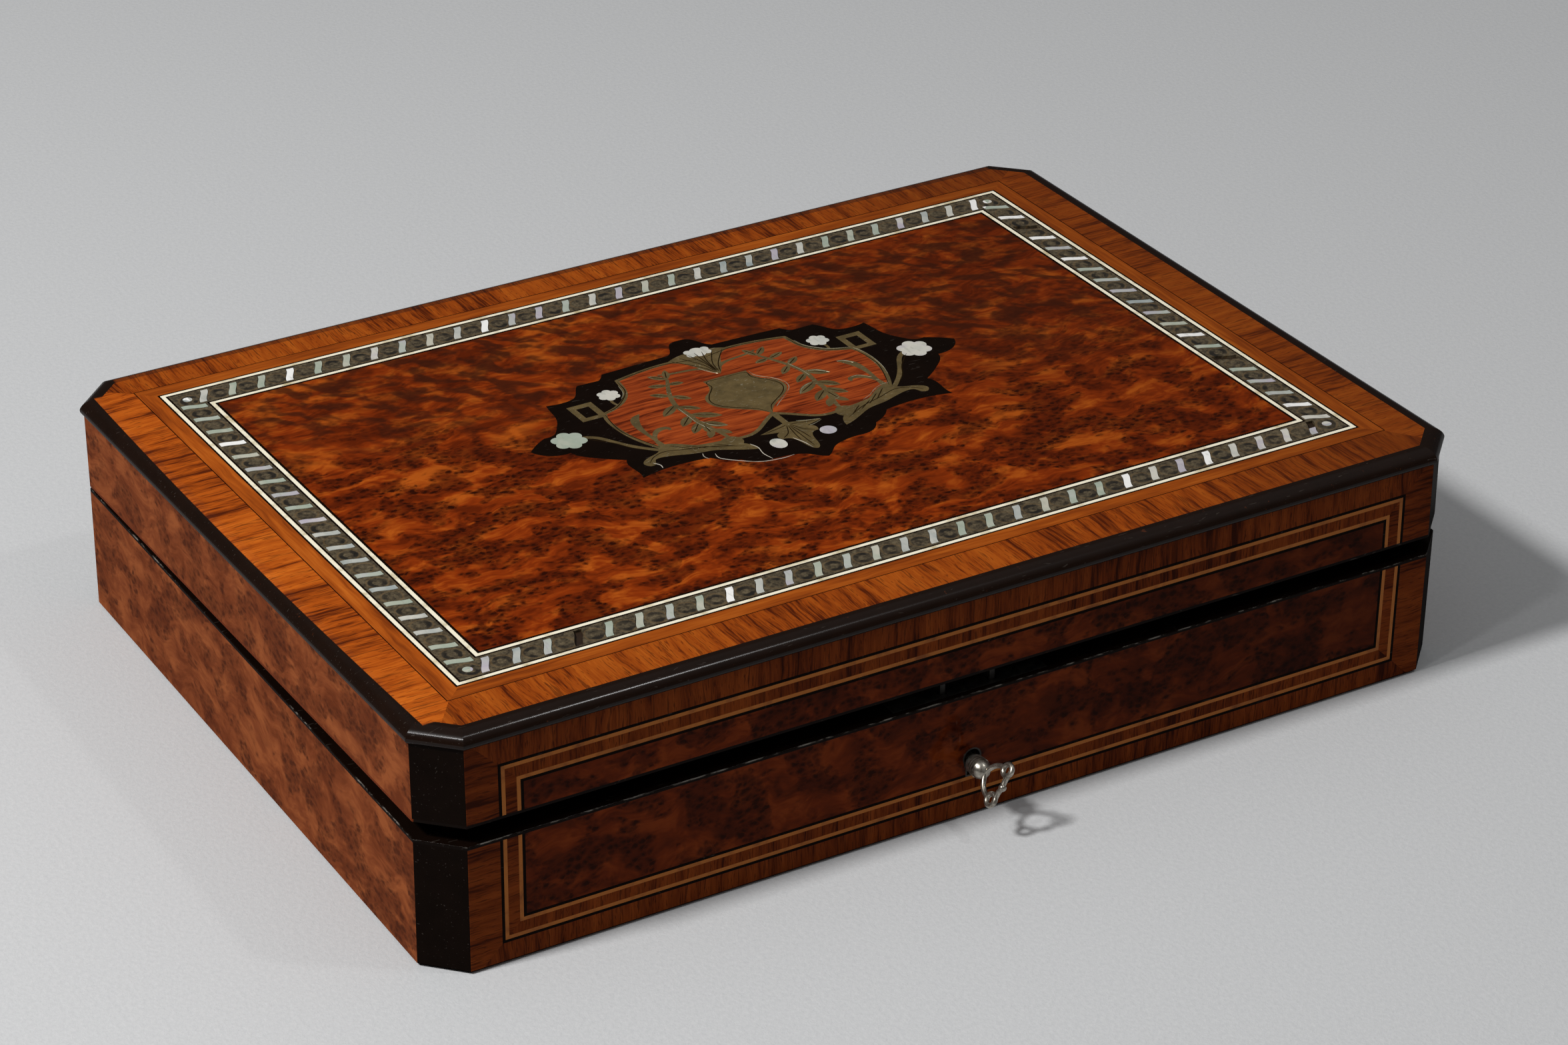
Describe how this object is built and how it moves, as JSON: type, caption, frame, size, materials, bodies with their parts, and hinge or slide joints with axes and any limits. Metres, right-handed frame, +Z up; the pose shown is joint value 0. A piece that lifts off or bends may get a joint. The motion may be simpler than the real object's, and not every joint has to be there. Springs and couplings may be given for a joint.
{
  "type": "games box",
  "caption": "Flat rectangular games box with canted corners, inlaid hinged lid, front lock with key, card wells and lidded counter boxes.",
  "frame": {"origin": "middle of the underside, on the table", "axes": "+X to the right along the front, +Y to the back, +Z up"},
  "size_m": [0.332, 0.2573, 0.0735],
  "materials": {
    "carcass_wood": "waxed",
    "burr_veneer": "french polished",
    "tulipwood": "french polished",
    "light_line": "french polished",
    "pale_line": "french polished",
    "ebony": "french polished",
    "partition_wood": "waxed",
    "counter_box_wood": "waxed",
    "pewter": "dull, tarnished",
    "pearl": "polished mother-of-pearl",
    "brass": "aged, engraved",
    "hinge_brass": "aged",
    "lock_steel": "aged",
    "key_steel": "worn"
  },
  "bodies": {
    "case": {"bottom_board": "carcass_wood", "base_front_board": "carcass_wood", "base_back_board": "carcass_wood", "base_left_board": "carcass_wood", "base_right_board": "carcass_wood", "base_foot_line": "ebony", "base_rim_lipping": "ebony", "base_corner_strips": "ebony", "base_front_banding": "tulipwood", "base_front_dark_lines": "ebony", "base_front_light_lines": "light_line", "base_front_burr": "burr_veneer", "base_side_veneers": "burr_veneer", "keyhole_liner": "brass", "hinge_base_leaves": "hinge_brass", "hinge_base_screws": "hinge_brass", "hinge_pins": "hinge_brass", "lock_plate": "lock_steel", "lock_cap": "lock_steel", "lock_screws": "lock_steel", "card_partitions": "partition_wood"},
    "lid": {"lid_top_board": "carcass_wood", "lid_front_board": "carcass_wood", "lid_back_board": "carcass_wood", "lid_left_board": "carcass_wood", "lid_right_board": "carcass_wood", "lid_rim_lipping": "ebony", "lid_corner_strips": "ebony", "lid_edge_moulding": "ebony", "lid_front_banding": "tulipwood", "lid_front_dark_lines": "ebony", "lid_front_light_lines": "light_line", "lid_front_burr": "burr_veneer", "lid_side_veneers": "burr_veneer", "hinge_lid_leaves": "hinge_brass", "hinge_lid_screws": "hinge_brass", "link_plate": "lock_steel", "link_screws": "lock_steel", "top_crossbanding": "tulipwood", "top_straight_banding": "tulipwood", "top_white_lines": "pale_line", "top_black_lines": "ebony", "top_pewter_band": "pewter", "top_pearl_inlay": "pearl", "top_burr_field": "burr_veneer", "cartouche_ground": "ebony", "cartouche_reserve": "tulipwood", "cartouche_brass": "brass", "cartouche_pearl": "pearl"},
    "key": {"key": "key_steel"},
    "lock_bolt": {"lock_bolt": "lock_steel"},
    "counter_box_1": {"counter_box_1": "counter_box_wood"},
    "counter_lid_1": {"counter_lid_1": "counter_box_wood"},
    "counter_box_2": {"counter_box_2": "counter_box_wood"},
    "counter_lid_2": {"counter_lid_2": "counter_box_wood"},
    "counter_box_3": {"counter_box_3": "counter_box_wood"},
    "counter_lid_3": {"counter_lid_3": "counter_box_wood"},
    "counter_box_4": {"counter_box_4": "counter_box_wood"},
    "counter_lid_4": {"counter_lid_4": "counter_box_wood"}
  },
  "joints": [
    {"name": "lid_hinge", "type": "hinge", "parent": "case", "child": "lid", "pos_m": [0, 0.1187, 0.0399], "axis": [-1, 0, 0], "range_deg": [-1.28, 98.72]},
    {"name": "key_turn", "type": "hinge", "parent": "case", "child": "key", "pos_m": [0, -0.1175, 0.0176], "axis": [0, 1, 0], "range_deg": [-33, 327]},
    {"name": "bolt_slide", "type": "slide", "parent": "case", "child": "lock_bolt", "axis": [1, 0, 0], "range_m": [-0.00041, 0.00409]},
    {"name": "counter_box_1_lift", "type": "slide", "parent": "case", "child": "counter_box_1", "axis": [0, 0, 1], "range_m": [0, 0.024]},
    {"name": "counter_lid_1_lift", "type": "slide", "parent": "counter_box_1", "child": "counter_lid_1", "axis": [0, 0, 1], "range_m": [0, 0.012]},
    {"name": "counter_box_2_lift", "type": "slide", "parent": "case", "child": "counter_box_2", "axis": [0, 0, 1], "range_m": [0, 0.024]},
    {"name": "counter_lid_2_lift", "type": "slide", "parent": "counter_box_2", "child": "counter_lid_2", "axis": [0, 0, 1], "range_m": [0, 0.012]},
    {"name": "counter_box_3_lift", "type": "slide", "parent": "case", "child": "counter_box_3", "axis": [0, 0, 1], "range_m": [0, 0.024]},
    {"name": "counter_lid_3_lift", "type": "slide", "parent": "counter_box_3", "child": "counter_lid_3", "axis": [0, 0, 1], "range_m": [0, 0.012]},
    {"name": "counter_box_4_lift", "type": "slide", "parent": "case", "child": "counter_box_4", "axis": [0, 0, 1], "range_m": [0, 0.024]},
    {"name": "counter_lid_4_lift", "type": "slide", "parent": "counter_box_4", "child": "counter_lid_4", "axis": [0, 0, 1], "range_m": [0, 0.012]}
  ],
  "couplings": [
    {"joint": "key_turn", "follows": "bolt_slide", "rad_per_m": 1396.3}
  ]
}
